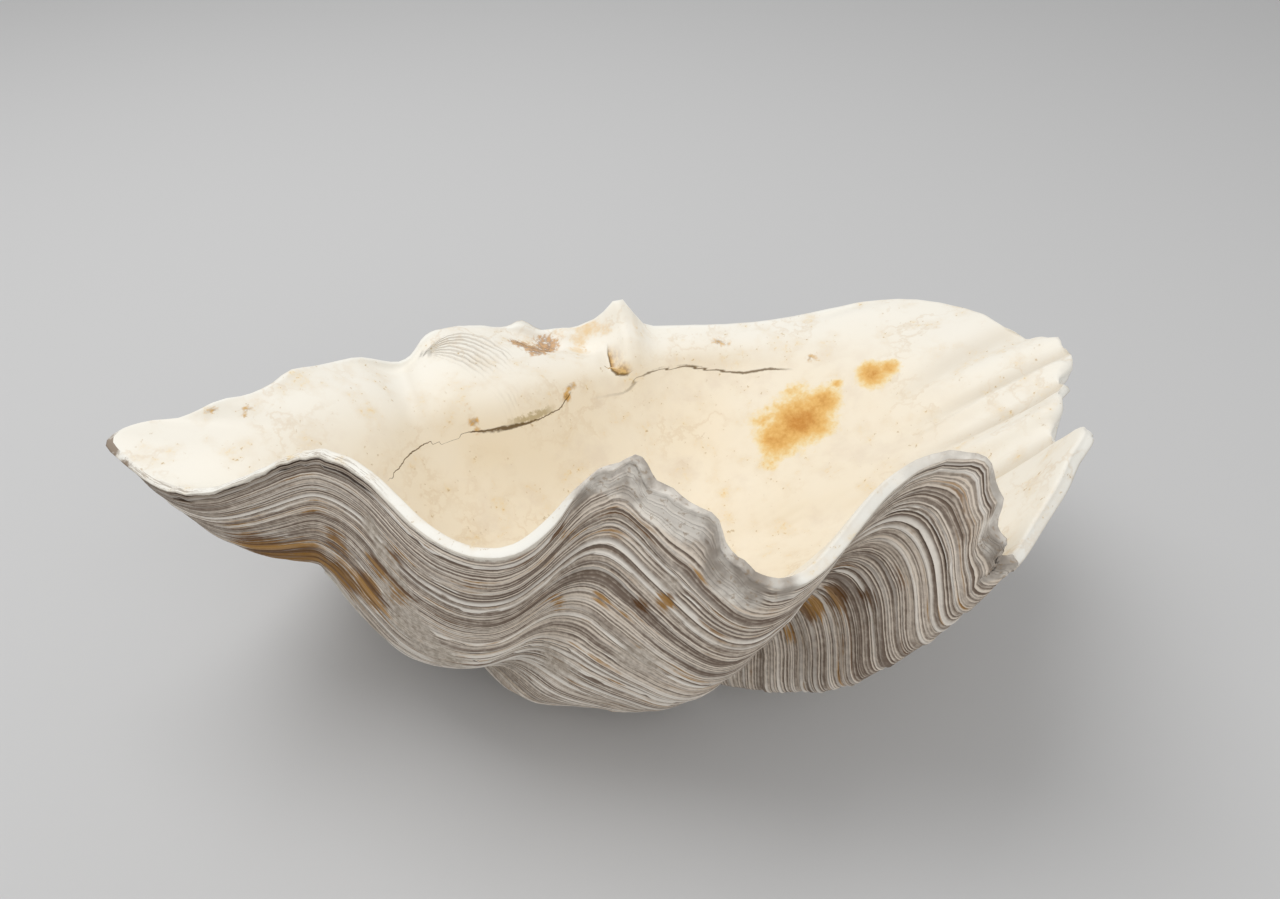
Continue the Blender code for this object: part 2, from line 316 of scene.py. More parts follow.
# Broken stretches of the margin: place and half width along it, how far they reach
# down the outside, and strength
BROKEN_EDGES = (
    (13.3, 0.5, 9, 0.7), (14.6, 0.9, 13, 1.0), (16.2, 0.8, 13, 1.0), (17.3, 0.4, 8, 0.6),
    (22.6, 0.5, 8, 0.8), (23.4, 0.5, 9, 0.9),
)

# Stretches of the margin whose rim is grey instead of white: place and half width
GREY_RIMS = ((14.5, 1.2), (16.4, 0.9), (21.6, 1.6), (23.3, 0.6))

# The dark crack over the bowl, and the dark line below the hinge plate
CRACK = (
    (-108, -21, 98), (-102, -5, 101), (-95, 6, 100), (-79, 15, 100), (-68, 18, 97),
    (-55, 23, 97), (-43, 31, 96), (-34, 39, 96), (-28, 49, 100),
)
HINGE_LINE = (
    (-24, 49, 95), (-1, 64, 89), (11, 76, 94), (20, 81, 95), (33, 85, 93),
    (42, 85, 92), (51, 84, 91), (63, 82, 90), (79, 82, 93), (90, 80, 94),
)

# The stained pit left of the large tooth: its lower left edge
PIT_EDGE = (
    (-10, 86, 109), (-10, 79, 105), (-9, 72, 102), (-6, 69, 99), (-2, 69, 97), (3, 72, 96),
)

# How far beside these lines the distance to them is kept
LINE_REACH = 9.0

# What the mesh keeps of its skin for the material
KEPT = (
    "grown", "passed", "fine_passed", "line_strength", "along", "inward", "lined", "orange",
    "brown", "worn", "chalky", "calm", "back", "fold_shade", "grey_rim", "ochre", "socket", "scab",
    "tip_dirt", "spout", "crack_side", "crack_along", "hinge_side", "hinge_along",
    "pit_side", "pit_along", "lip_groove", "lip_near",
)

# Colours, as red, green and blue from 0 to 255, and pairs of them where both are mixed
TINTS = SimpleNamespace(
    # Outside
    lines=((120, 104, 91), (231, 218, 202)),
    # Painted highlight on the crest of each growth lip, and painted shadow in the gap below it
    crest_highlight=(252, 246, 236),
    gap=(82, 67, 55),
    chalk=((176, 164, 149), (212, 202, 189)),
    rust=((92, 54, 4), (172, 122, 34)),
    spout_edge=(112, 94, 78),
    spout_streak=(46, 30, 18),
    newest=(240, 234, 221),
    back=(238, 230, 216),
    tip_dirt=(118, 90, 60),
    # Broken shell
    broken=((166, 156, 145), (236, 230, 220)),
    broken_spot=(150, 122, 88),
    # Inside
    rim=(252, 250, 242),
    cream=((251, 246, 234), (248, 235, 211)),
    mottled=(230, 210, 180),
    # Painted shade in the valleys of the inner folds at the ribbed fan
    fold_shade=(214, 201, 180),
    vein=(214, 186, 146),
    cloud=(230, 214, 194),
    speck=(150, 124, 92),
    # Painted shade in the grooves of the rolled lip
    lip_groove=(190, 172, 150),
    flake=(150, 132, 112),
    # Stains and dark lines of the inside
    pale_orange=(247, 222, 164),
    orange=(236, 184, 98),
    deep_orange=(200, 130, 40),
    ochre=((138, 94, 22), (216, 168, 84)),
    socket=(240, 206, 150),
    crust=((132, 84, 34), (208, 162, 108)),
    gold=((176, 126, 40), (222, 180, 98)),
    pit_edge=(108, 78, 10),
    olive=(158, 134, 56),
    crack=(92, 66, 6),
    seam=(98, 72, 20),
)

# Studio
FLOOR_SIZE = 12.0
FLOOR_COLOUR = (0.62, 0.62, 0.62, 1)
ROOM_LIGHT = 0.5
LIGHTS = (
    ("window", (-0.5, 0.35, 1.6), 1.2, 12.5),
    ("front", (0.6, -1.4, 1.2), 1.6, 7),
)
CAMERA_LENS = 28.125
CAMERA_PLACE = (0.00736, -0.37705, 0.3907)
CAMERA_TILT = math.radians(52.4)


def closed_curve(points, place):
    """Points of the smooth closed curve through points, at places counted in points."""
    points = np.asarray(points, float)
    count = len(points)
    share = (4 + 2 * np.cos(2 * np.pi * np.arange(count) / count)) / 6
    control = np.fft.ifft(np.fft.fft(points, axis=0) / share[:, None], axis=0).real
    first = np.floor(place).astype(int)
    f = np.asarray(place - first)[..., None]
    weights = ((1 - f) ** 3, 3 * f ** 3 - 6 * f ** 2 + 4,
               -3 * f ** 3 + 3 * f ** 2 + 3 * f + 1, f ** 3)
    return sum(w * control[(first + k - 1) % count] for k, w in enumerate(weights)) / 6


def between_rows(table, at):
    """Values of a table at given places, on a smooth curve through its rows."""
    table = np.asarray(table, float)
    x, y = table[:, 0], table[:, 1:]
    step = np.diff(x)
    slope = np.diff(y, axis=0) / step[:, None]
    tangent = np.vstack((slope[:1], (slope[:-1] + slope[1:]) / 2, slope[-1:]))
    i = np.clip(np.searchsorted(x, at, side="right") - 1, 0, len(step) - 1)
    f = ((at - x[i]) / step[i])[..., None]
    h = step[i][..., None]
    return ((1 + 2 * f) * (1 - f) ** 2 * y[i] + f * (1 - f) ** 2 * h * tangent[i]
            + f ** 2 * (3 - 2 * f) * y[i + 1] - f ** 2 * (1 - f) * h * tangent[i + 1])


def turned(x, y, degrees):
    """Two coordinates turned in their plane."""
    angle = np.radians(degrees)
    return x * np.cos(angle) - y * np.sin(angle), y * np.cos(angle) + x * np.sin(angle)


def margin_at(age, place):
    """The margin as it was at an age from 0, today, to 1, the beak."""
    stage = np.moveaxis(between_rows(GROWTH, age), -1, 0)
    width, reach, turn, swing, along, back, down, drifted = stage
    away = closed_curve(MARGIN, place) - HINGE_POINT
    a, c, h = away @ ALONG * width, away @ FORWARD, away @ UP
    c, h = turned(c, h, -turn)
    c, h = c * reach, h * reach
    a, c = turned(a, c, -swing)
    a, c, h = a + along, c - back, h - down
    for middle, half_width, drift_along, drift_forward, drift_up in DRIFTS:
        share = drifted * np.exp(-((place - middle) / half_width) ** 2)
        a, c, h = a + drift_along * share, c + drift_forward * share, h + drift_up * share
    return HINGE_POINT + a[..., None] * ALONG + c[..., None] * FORWARD + h[..., None] * UP


def unit(vectors):
    return vectors / np.maximum(np.linalg.norm(vectors, axis=-1, keepdims=True), 1e-9)


def outside(ages, places):
    """Rows of points from the beak to the margin."""
    age, place = np.meshgrid(ages, places, indexing="ij")
    return margin_at(age, place)


def bowl_edge(places):
    """Edge of the bowl and its roll, at places along the margin."""
    table = np.array(BOWL_EDGE, float)
    known = np.append(table[:, 0], len(MARGIN))
    turn = np.interp(places, known, np.arange(len(known)))
    edge = closed_curve(table[:, 1:], turn)
    return edge[:, :3], np.clip(edge[:, 3], 0, 1)[:, None]


def rim_and_slope(places, rim_rows, slope_rows):
    """Rows over the rim and down the inner slope to the edge of the bowl."""
    margin = margin_at(np.zeros(len(places)), places)
    step_in = margin_at(np.full(len(places), STEP_AGE), places) - margin
    following = np.roll(margin, -1, axis=0) - np.roll(margin, 1, axis=0)
    inward = unit(np.cross(following, step_in))
    edge, roll = bowl_edge(places)
    inward = unit(inward * (1 - roll) + unit((edge - margin) * (1, 1, 0)) * roll)
    inward = unit(inward + np.roll(inward, 1, axis=0) + np.roll(inward, -1, axis=0))
    rim = []
    for k in range(1, rim_rows + 1):
        f = k / rim_rows
        rim.append(margin + inward * RIM_THICKNESS * f + UP * RIM_CROWN * math.sin(math.pi * f))
    start = rim[-1]
    span = edge - start
    length = np.linalg.norm(span, axis=1, keepdims=True)
    leave = unit(step_in) * (1 - roll) + unit(span * (1, 1, 0)) * roll
    leave = leave * length * SLOPE_LEAVE
    arrive = span * SLOPE_ARRIVE * (1 - roll) - UP * ROLL_DROP * length * roll
    slope = []
    for k in range(1, slope_rows + 1):
        f = k / slope_rows
        slope.append((1 - f) ** 3 * start + 3 * (1 - f) ** 2 * f * (start + leave)
                     + 3 * (1 - f) * f ** 2 * (edge - arrive) + f ** 3 * edge)
    return rim, slope


def bowl(places, rows):
    """Rows from the edge of the bowl to the middle of its floor."""
    edge, roll = bowl_edge(places)
    waves = np.fft.fft(edge, axis=0)
    order = np.abs(np.fft.fftfreq(len(places), 1 / len(places)))[:, None]
    curve = BOWL_CURVE + ROLLED_CURVE * roll
    made = []
    for k in range(1, rows + 1):
        f = 1 - k / rows
        ring = np.fft.ifft(waves * f ** order, axis=0).real
        ring[:, 2:] -= BOWL_DEPTH * (1 - f ** curve)
        made.append(ring)
    return made


def keep_wall(inside, outer, walls):
    """Inner rows moved in where the wall to the outer rows would be too thin."""
    rows, count = outer.shape[:2]
    corners = outer.reshape(-1, 3).tolist()
    faces = []
    for i in range(rows - 1):
        for j in range(count):
            k = (j + 1) % count
            faces.append((i * count + j, i * count + k, (i + 1) * count + k, (i + 1) * count + j))
    tree = BVHTree.FromPolygons(corners, faces)
    for row, wall in zip(inside, walls):
        for point in row:
            near, normal, _, _ = tree.find_nearest(point.tolist())
            near, normal = np.array(near), np.array(normal)
            away = point - near
            if away @ normal > 0:
                point[:] = near - normal * wall
            elif np.linalg.norm(away) < wall:
                point[:] = near + unit(away) * wall


def smoothed(rows):
    """Inner rows between the first and the last, eased towards their neighbours."""
    rows = np.array(rows)
    beside = np.roll(rows, 1, axis=1) + np.roll(rows, -1, axis=1)
    mean = (rows[:-2] + rows[2:] + beside[1:-1]) / 4
    rows[1:-1] = (rows[1:-1] + mean) / 2
    return list(rows)


def solid_inner():
    """Inner rows of the solid: the margin, the rim, the slope and the bowl."""
    places = np.arange(SOLID_PLACES) * len(MARGIN) / SOLID_PLACES
    ages = 1 - np.arange(SOLID_OUTSIDE_ROWS + 1) / SOLID_OUTSIDE_ROWS
    outer = outside(ages, places)
    rim, slope = rim_and_slope(places, SOLID_RIM_ROWS, SOLID_SLOPE_ROWS)
    inside = slope + bowl(places, SOLID_BOWL_ROWS)
    down_slope = np.minimum(np.arange(len(inside)) / SOLID_SLOPE_ROWS, 1)
    walls = THIN_WALL + (THICK_WALL - THIN_WALL) * down_slope
    for _ in range(EASINGS):
        keep_wall(inside, outer, walls)
        inside = smoothed([rim[-1]] + inside)[1:]
    keep_wall(inside, outer, walls)
    return np.array([outer[-1]] + rim + inside)


def finer_round(rows, count):
    """Rows of points round the shell, with more points on the same smooth curves."""
    had = rows.shape[1]
    waves = np.fft.fft(rows, axis=1)
    padded = np.zeros((rows.shape[0], count, 3), complex)
    half = had // 2
    padded[:, :half] = waves[:, :half]
    padded[:, -half + 1:] = waves[:, -half + 1:]
    return np.fft.ifft(padded, axis=1).real * count / had


def growth_ages():
    """Ages of the outside's rows, from the beak to today, closest together near today."""
    share = np.arange(OUTSIDE_ROWS + 1) / OUTSIDE_ROWS
    ages = np.interp(share, (0, FINE_SHARE, 1), (0, FINE_AGE, 1))
    for _ in range(30):
        ages[1:-1] = (ages[:-2] + ages[2:]) / 2
    return ages[::-1]


def fine_rows():
    """All rows of the shell, and for each row its age or its place down the inside."""
    places = np.arange(PLACES) * len(MARGIN) / PLACES
    ages = growth_ages()
    outer = outside(ages, places)
    solid = solid_inner()
    round_rows = finer_round(solid, PLACES)
    round_rows[0] = outer[-1]
    solid_counts = (SOLID_RIM_ROWS, SOLID_SLOPE_ROWS, SOLID_BOWL_ROWS)
    down = [0.0]
    for solid_rows, fine in zip(solid_counts, (RIM_ROWS, SLOPE_ROWS, BOWL_ROWS)):
        down.extend(down[-1] + solid_rows * np.arange(1, fine + 1) / fine)
    down = np.array(down)
    table = np.column_stack((np.arange(len(solid)), round_rows.reshape(len(solid), -1)))
    inner = between_rows(table, down).reshape(len(down), PLACES, 3)[1:]
    moves = chip_moves(places)
    outer_share = np.exp(-(front_travel(ages) / CHIP_REACH) ** 2)
    outer = outer + outer_share[:, None, None] * moves
    inner = inner + np.exp(-(down[1:] / CHIP_ROWS) ** 2)[:, None, None] * moves
    return np.concatenate((outer, inner)), ages, down[1:], places


def front_travel(ages):
    """How many millimetres the front of the margin has grown since it was at an age."""
    steps = np.linspace(0, 1, 401)
    path = outside(steps, np.linspace(*FRONT_PLACES, 45))
    grown = np.linalg.norm(np.diff(path, axis=0), axis=2).mean(axis=1)
    return np.interp(ages, steps, np.append(0, np.cumsum(grown)))


def lines_passed(grown, pitches):
    """How many unevenly spaced growth lines lie between points and today's margin."""
    random = np.random.default_rng(LINE_SEED)
    starts = np.append(0, np.cumsum(random.uniform(*pitches, LINE_COUNT)))
    return np.interp(grown, starts, np.arange(LINE_COUNT + 1))


def line_strengths(passed):
    """A strength for each growth line, mostly weak and a few of them strong."""
    random = np.random.default_rng(LINE_SEED + 1)
    strengths = 0.12 + 0.88 * random.random(LINE_COUNT + 1) ** 1.5
    return strengths[np.floor(passed).astype(int)]


def bump(points, x, y, half_x, half_y, height, square):
    """How far a rounded bump of the hinge lifts points."""
    far = ((points[..., 0] - x) / half_x) ** 2 + ((points[..., 1] - y) / half_y) ** 2
    return height * np.exp(-far ** square)


def near_place(places, middle, half_width):
    """1 at a place along the margin, falling smoothly to 0 beside it."""
    away = (places - middle + len(MARGIN) / 2) % len(MARGIN) - len(MARGIN) / 2
    return np.exp(-(away / half_width) ** 2)


def chip_moves(places):
    """How the chips and ragged stretches move today's margin, at places along it."""
    moves = np.zeros((len(places), 3))
    for middle, half_width, along, forward, up in CHIPS:
        share = near_place(places, middle, half_width)[:, None]
        moves += share * (along * ALONG + forward * FORWARD + up * UP)
    rough = np.zeros(len(places))
    for first, last, height in RAGGED:
        ends = (first - RAGGED_END, first + RAGGED_END, last - RAGGED_END, last + RAGGED_END)
        rough = np.maximum(rough, height * between(places, *ends))
    jagged = [sum(strength * noise.noise((count * place, seed, 0.0)) for count, seed, strength in JAGS)
              for place in places]
    return moves + (rough * jagged)[:, None] * (UP + JAG_LEAN * FORWARD)


def ease(low, high, value):
    """Rises smoothly from 0 at low to 1 at high."""
    f = np.clip((value - low) / (high - low), 0, 1)
    return f * f * (3 - 2 * f)


def between(value, start, full, fading, end):
    """Rises from 0 at start to 1 at full, and falls from 1 at fading to 0 at end."""
    return ease(start, full, value) * ease(end, fading, value)


def wander(points, size, seed=0.0):
    """Smooth noise from about -1 to 1, with features of a size in millimetres."""
    return np.array([noise.noise((x / size + seed, y / size, z / size - seed)) for x, y, z in points])


def wavy(points, waves):
    """Waves of some heights, sizes and seeds on top of each other."""
    return sum(height * wander(points, size, seed) for height, size, seed in waves)


def beside_line(points, line):
    """Distance to a line through points, signed by its side, and how far along it lies."""
    line = np.array(line, float)
    best = np.full(len(points), 1e9)
    signed = np.full(len(points), 1e9)
    along = np.zeros(len(points))
    for k, (a, b) in enumerate(zip(line[:-1], line[1:])):
        span = b - a
        f = ((points - a) @ span) / (span @ span)
        near = a + np.clip(f, 0, 1)[:, None] * span
        away = np.linalg.norm(points - near, axis=1)
        side = np.sign(span[0] * (points[:, 1] - a[1]) - span[1] * (points[:, 0] - a[0]))
        nearer = away < best
        best[nearer] = away[nearer]
        signed[nearer] = (away * side)[nearer]
        along[nearer] = (k + f)[nearer]
    return signed, along / (len(line) - 1)


def patches(points, table):
    """How strongly points lie in soft round patches given by middle, radius and strength."""
    share = np.zeros(len(points))
    for x, y, z, radius, strength in table:
        away = np.linalg.norm(points - (x, y, z), axis=1)
        share = np.maximum(share, strength * ease(radius, 0, away))
    return share


def vertex_values(data, name):
    """A vector that Blender holds for every vertex of a mesh."""
    values = np.zeros(len(data.vertices) * 3)
    data.vertices.foreach_get(name, values)
    return values.reshape(-1, 3)


def ball_on_rows(rows):
    """A ball laid onto rows of points, and the row, place and point of every vertex."""
    last = len(rows) - 1
    bpy.ops.object.select_all(action="DESELECT")
    bpy.ops.mesh.primitive_uv_sphere_add(segments=PLACES, ring_count=last, radius=1)
    piece = bpy.context.object
    piece.name = "shell_skin"
    ball = vertex_values(piece.data, "co")
    row = np.round(np.arccos(np.clip(ball[:, 2], -1, 1)) / math.pi * last).astype(int)
    turn = np.arctan2(ball[:, 1], ball[:, 0]) / math.tau * PLACES
    place = np.floor(turn + 0.25).astype(int) % PLACES
    point = rows[row, place]
    for end in (0, last):
        point[row == end] = rows[end].mean(axis=0)
    piece.data.vertices.foreach_set("co", (point * MM).ravel())
    bpy.ops.object.mode_set(mode="EDIT")
    bpy.ops.mesh.select_all(action="SELECT")
    bpy.ops.mesh.normals_make_consistent(inside=False)
    bpy.ops.object.mode_set(mode="OBJECT")
    piece.data.update()
    return piece, row, place, point


def skin_of(rows, ages, down, places, row, place, point):
    """What each point of the skin is: its growth outside and its way down inside.

    The way down counts the solid's rows: the rim ends at 2, the slope at 10 and the bowl
    at 18.
    """
    newest = len(ages)
    travel = front_travel(ages)
    step = np.linalg.norm(np.gradient(rows[:newest], axis=0), axis=2)
    step /= np.abs(np.gradient(travel))[:, None] + 1e-6
    outer_row = np.minimum(row, newest - 1)
    skin = SimpleNamespace(point=point, along=places[place])
    skin.is_outer = row < newest
    skin.grown = travel[outer_row]
    skin.spread = np.clip(step[outer_row, place], 0, 1.2)
    down_row = np.clip(row - newest, 0, len(down) - 1)
    skin.inward = np.where(skin.is_outer, 0, down[down_row])
    return skin


def add_growth_lines(skin):
    """The growth lines of the outside, and where it is broken or lies along the hinge."""
    skin.worn = np.zeros(len(skin.point))
    broken_depth = skin.grown + wavy(skin.point, BROKEN_WAVES)
    for middle, half_width, reach, strength in BROKEN_EDGES:
        share = strength * near_place(skin.along, middle, half_width)
        share = share * ease(reach * 1.3, reach * 0.7, broken_depth)
        skin.worn = np.maximum(skin.worn, share)
    skin.back = between(skin.along, *HINGE_STRETCH)
    skin.waver = skin.grown + wavy(skin.point, LINE_WAVES)
    skin.passed = lines_passed(skin.waver, LINE_PITCHES)
    skin.fine_passed = lines_passed(skin.waver, FINE_PITCHES)
    patchy = np.clip(PATCHY_STRENGTH + wavy(skin.point, STRENGTH_WAVES), *PATCHY_LIMITS)
    skin.line_strength = line_strengths(skin.passed) * patchy
    skin.lined = ease(0, LINES_SET_IN, skin.grown) * ease(*CROWDED, skin.spread)
    skin.lined = skin.lined * (1 - skin.back) * (1 - 0.9 * skin.worn)


def outer_relief(skin):
    """Height of the outside: each newer layer ends in a small lip over the older one."""
    lips = (skin.passed % 1) ** 2 * skin.line_strength
    ledges = (skin.waver / LEDGE_PITCH + wavy(skin.point, LEDGE_WAVES)) % 1
    height = skin.lined * (LINE_HEIGHT * lips + LEDGE_HEIGHT * (ledges - 0.5))
    height += ease(0, LUMPS_SET_IN, skin.grown) * wavy(skin.point, OUTER_LUMPS)
    height -= ease(0.2, 0.8, skin.worn) * (BROKEN_DEPTH + np.abs(wavy(skin.point, BROKEN_PITS)))
    return np.where(skin.is_outer, height, 0)


def inner_relief(skin):
    """Height of the inside: soft lumps, and folds that run down from the margin."""
    folds = sum(height * near_place(skin.along, middle, half_width)
                for middle, half_width, height in INNER_FOLDS)
    skin.folds = folds * between(skin.inward, *FOLD_ROWS)
    return ease(1.5, 4.0, skin.inward) * wavy(skin.point, INNER_LUMPS) + skin.folds


def add_lip_grooves(skin):
    """How far across the grooves of the rolled lip points lie, and how near they are."""
    x, y, z = skin.point.T
    first, last = (top - bend * (x - middle) ** 2 for top, middle, bend in LIP_LINES)
    skin.lip_groove = np.clip((y - first) / np.maximum(last - first, 1.5), -2, 3)
    near = between(skin.lip_groove, *LIP_ACROSS) * between(x, *LIP_ALONG)
    skin.lip_near = near * ease(*LIP_UP, z) * (skin.inward > 1)


def add_marks(skin):
    """How strongly each stain and the painted fold shade lie on points, and how far they are from each
    line.
    """
    point, along, inward = skin.point, skin.along, skin.inward
    skin.orange = patches(point, ORANGE_STAINS) * ease(2, 3, inward)
    skin.brown = patches(point, BROWN_STAINS) * (inward < 0.5)
    skin.worn = skin.worn * (inward < 2.2)
    skin.chalky = patches(point, CHALKY_PATCHES) * skin.is_outer
    skin.calm = patches(point, CALM_PATCHES) * skin.is_outer
    # Painted shade in the valleys of the inner folds at the ribbed fan
    skin.fold_shade = np.clip(-skin.folds / 2.5, 0, 1) * (along > FAN_START)
    grey = np.max([near_place(along, middle, half_width) for middle, half_width in GREY_RIMS], axis=0)
    skin.grey_rim = grey * ease(3.0, 1.5, inward)
    skin.ochre = patches(point, OCHRE_SPOTS) * (inward > 1)
    skin.socket = patches(point, SOCKET_STAINS) * (inward > 1)
    skin.scab = patches(point, SCAB_STAINS) * (inward > 1)
    skin.tip_dirt = patches(point, TIP_DIRT) * (inward < 1.2)
    skin.spout = between(along, *SPOUT_STRETCH)
    skin.crack_side, skin.crack_along = beside_line(point, CRACK)
    skin.hinge_side, skin.hinge_along = beside_line(point, HINGE_LINE)
    skin.pit_side, skin.pit_along = beside_line(point, PIT_EDGE)


def keep_for_material(data, skin):
    """Keeps what the material needs as attributes of the mesh."""
    skin.lined = np.where(skin.is_outer, skin.lined, 0)
    for name in KEPT:
        values = getattr(skin, name)
        if name.endswith("_side"):
            values = np.clip(values, -LINE_REACH, LINE_REACH)
        layer = data.attributes.new(name, "FLOAT", "POINT")
        layer.data.foreach_set("value", np.asarray(values, float))


def make_shell():
    """The valve as one closed mesh, shaped from a ball whose equator is the margin."""
    rows, ages, down, places = fine_rows()
    inner = rows[len(ages):]
    inner[..., 2] += sum(bump(inner, *values) for values in HINGE_BUMPS)
    rows[..., 2] = np.maximum(rows[..., 2], FLOOR)
    rows = rows - CENTRE
    piece, row, place, point = ball_on_rows(rows)
    skin = skin_of(rows, ages, down, places, row, place, point)
    add_growth_lines(skin)
    add_lip_grooves(skin)
    height = outer_relief(skin) + inner_relief(skin)
    skin.point = point + vertex_values(piece.data, "normal") * height[:, None]
    skin.point[:, 2] -= BACK_DROP * skin.back * ease(0, DROP_SETS_IN, skin.grown) * skin.is_outer
    skin.point[:, 2] = np.maximum(skin.point[:, 2], 0)
    piece.data.vertices.foreach_set("co", (skin.point * MM).ravel())
    add_marks(skin)
    keep_for_material(piece.data, skin)
    piece.data.shade_smooth()
    return piece


class Shade:
    """A shader socket that can be reckoned with."""

    tree = None

    def __init__(self, socket):
        self.socket = socket

    @classmethod
    def node(cls, kind, settings=None, output=0, **values):
        """A new node of any kind: its settings, then its sockets' values or links."""
        made = cls.tree.nodes.new(kind)
        for name, value in (settings or {}).items():
            setattr(made, name, value)
        for name, value in values.items():
            place = int(name[1:]) if name[0] == "_" else name.replace("_", " ")
            if isinstance(value, Shade):
                cls.tree.links.new(value.socket, made.inputs[place])
            else:
                made.inputs[place].default_value = value
        return cls(made.outputs[output])

    def maths(self, operation, other=0.0, third=0.0):
        return Shade.node("ShaderNodeMath", {"operation": operation}, _0=self, _1=other, _2=third)

    def __add__(self, other):
        return self.maths("ADD", other)

    def __radd__(self, other):
        return self.maths("ADD", other)

    def __sub__(self, other):
        return self.maths("SUBTRACT", other)

    def __rsub__(self, other):
        return Shade.node("ShaderNodeMath", {"operation": "SUBTRACT"}, _0=other, _1=self)

    def __mul__(self, other):
        return self.maths("MULTIPLY", other)

    def __rmul__(self, other):
        return self.maths("MULTIPLY", other)

    def __truediv__(self, other):
        return self.maths("DIVIDE", other)

    def __abs__(self):
        return self.maths("ABSOLUTE")

    def rise(self, low, high):
        """Goes smoothly from 0 at low to 1 at high, or down from 1 if low is above high."""
        if low > high:
            return 1 - self.rise(high, low)
        return Shade.node("ShaderNodeMapRange", {"interpolation_type": "SMOOTHSTEP"},
                          _0=self, _1=low, _2=high)

    def within(self, start, full, fading, end):
        """Rises from 0 at start to 1 at full, and falls from 1 at fading to 0 at end."""
        return self.rise(start, full) * self.rise(end, fading)


def named(name):
    return Shade.node("ShaderNodeAttribute", {"attribute_name": name}, output=2)


def mottle(place, scale, detail=3.0, roughness=0.55):
    return Shade.node("ShaderNodeTexNoise", Vector=place, Scale=scale, Detail=detail,
                      Roughness=roughness)


def linear(tint):
    """A colour from 0 to 255 in the linear values that sockets hold."""
    values = []
    for value in tint:
        f = value / 255
        values.append(f / 12.92 if f <= 0.04045 else ((f + 0.055) / 1.055) ** 2.4)
    return (*values, 1)


def blended(share, *looks):
    """A mix of two looks, each a socket or a colour from 0 to 255."""
    first, second = (look if isinstance(look, Shade) else linear(look) for look in looks)
    return Shade.node("ShaderNodeMix", {"data_type": "RGBA"}, output=2, _0=share, _6=first, _7=second)


def roughened(value, *grains):
    """A value with noises added to it, each by its strength."""
    for grain, strength in grains:
        value = value + (grain - 0.5) * strength
    return value


def make_grain():
    """The noises that all looks share: three over the object and two along its lines."""
    grain = SimpleNamespace(place=Shade.node("ShaderNodeTexCoord", output=3))
    grain.broad = mottle(grain.place, 22.0)
    grain.medium = mottle(grain.place, 70.0, 4.0)
    grain.fine = mottle(grain.place, 420.0, 4.0, 0.6)
    on_lines = Shade.node("ShaderNodeCombineXYZ", X=named("grown"), Y=named("along") * 0.7,
                          Z=grain.medium * 0.5)
    grain.lines = mottle(on_lines, 0.65, 2.0, 0.5)
    grain.bands = mottle(on_lines, 0.16, 2.0, 0.5)
    passed = roughened(named("fine_passed"), (grain.medium, 1.2))
    strength = Shade.node("ShaderNodeTexWhiteNoise", {"noise_dimensions": "1D"},
                          W=passed.maths("FLOOR"))
    grain.fine_line = passed.maths("FRACT").within(0.2, 0.75, 0.85, 1.0) * strength
    return grain


def lines_look(grain):
    """Growth lines: painted highlight on each lip's crest, painted shadow in the gap below, and finer
    lines.
    """
    lined, strong = named("lined"), named("line_strength")
    bold = 1 - named("calm") * 0.65
    turn = named("passed").maths("FRACT")
    # Painted highlight along the crest of each lip, and painted shadow in the gap just below it
    crest_highlight = turn.within(0.35, 0.8, 0.93, 1.0) * lined * strong.rise(0.05, 0.6) * bold
    gap = turn.rise(0.28, 0.04) * lined * (0.3 + strong) * (0.5 + grain.lines) * bold
    tone = roughened(0.0, (grain.lines, 1.8), (grain.bands, 1.5)) * bold
    tone = roughened(tone + grain.fine_line + 0.31, (grain.fine, 0.8)).rise(0.0, 1.0)
    look = blended(tone, *TINTS.lines)
    look = blended(crest_highlight * 0.85, look, TINTS.crest_highlight)
    return blended(gap * 0.8, look, TINTS.gap)


def outer_look(grain):
    """The outside: growth lines under chalk, brown stains and the edge of today's layer."""
    grown = named("grown")
    look = lines_look(grain)
    old = grown.rise(70, 150) * 0.45 + (1 - named("lined")) * 0.35 + grain.broad.rise(0.45, 0.7) * 0.2
    patch = roughened(named("chalky"), (grain.medium, 1.2)).rise(0.15, 0.7)
    chalky = (old * 0.8 + patch * 0.8).rise(0.0, 1.0)
    chalk = blended(grain.fine.rise(0.35, 0.65), *TINTS.chalk)
    look = blended(chalky * 0.95, look, chalk)
    brown = roughened(named("brown"), (grain.lines, 2.2), (grain.medium, 1.2)).rise(0.2, 0.6)
    rust = blended(grain.bands.rise(0.35, 0.65), *TINTS.rust)
    look = blended(brown * 0.85, look, rust)
    edge = named("spout") * grown.within(1.0, 2.4, 7.0, 12.0)
    look = blended(edge * 0.5, look, TINTS.spout_edge)
    streak = roughened(edge, (grain.lines, 4.0), (grain.medium, 2.0)).rise(1.05, 1.4)
    look = blended(streak * 0.9, look, TINTS.spout_streak)
    newest = roughened(grown, (grain.medium, 7.0), (grain.fine, 4.0)).rise(2.6, 0.8)
    look = blended(newest * (1 - named("grey_rim")) * 0.85, look, TINTS.newest)
    return blended(named("back") * 0.9, look, TINTS.back)


def broken_look(grain):
    """Broken shell: grey, with white and brown spots."""
    look = blended(grain.medium.rise(0.36, 0.62), *TINTS.broken)
    return blended(grain.fine.rise(0.56, 0.66) * 0.5, look, TINTS.broken_spot)


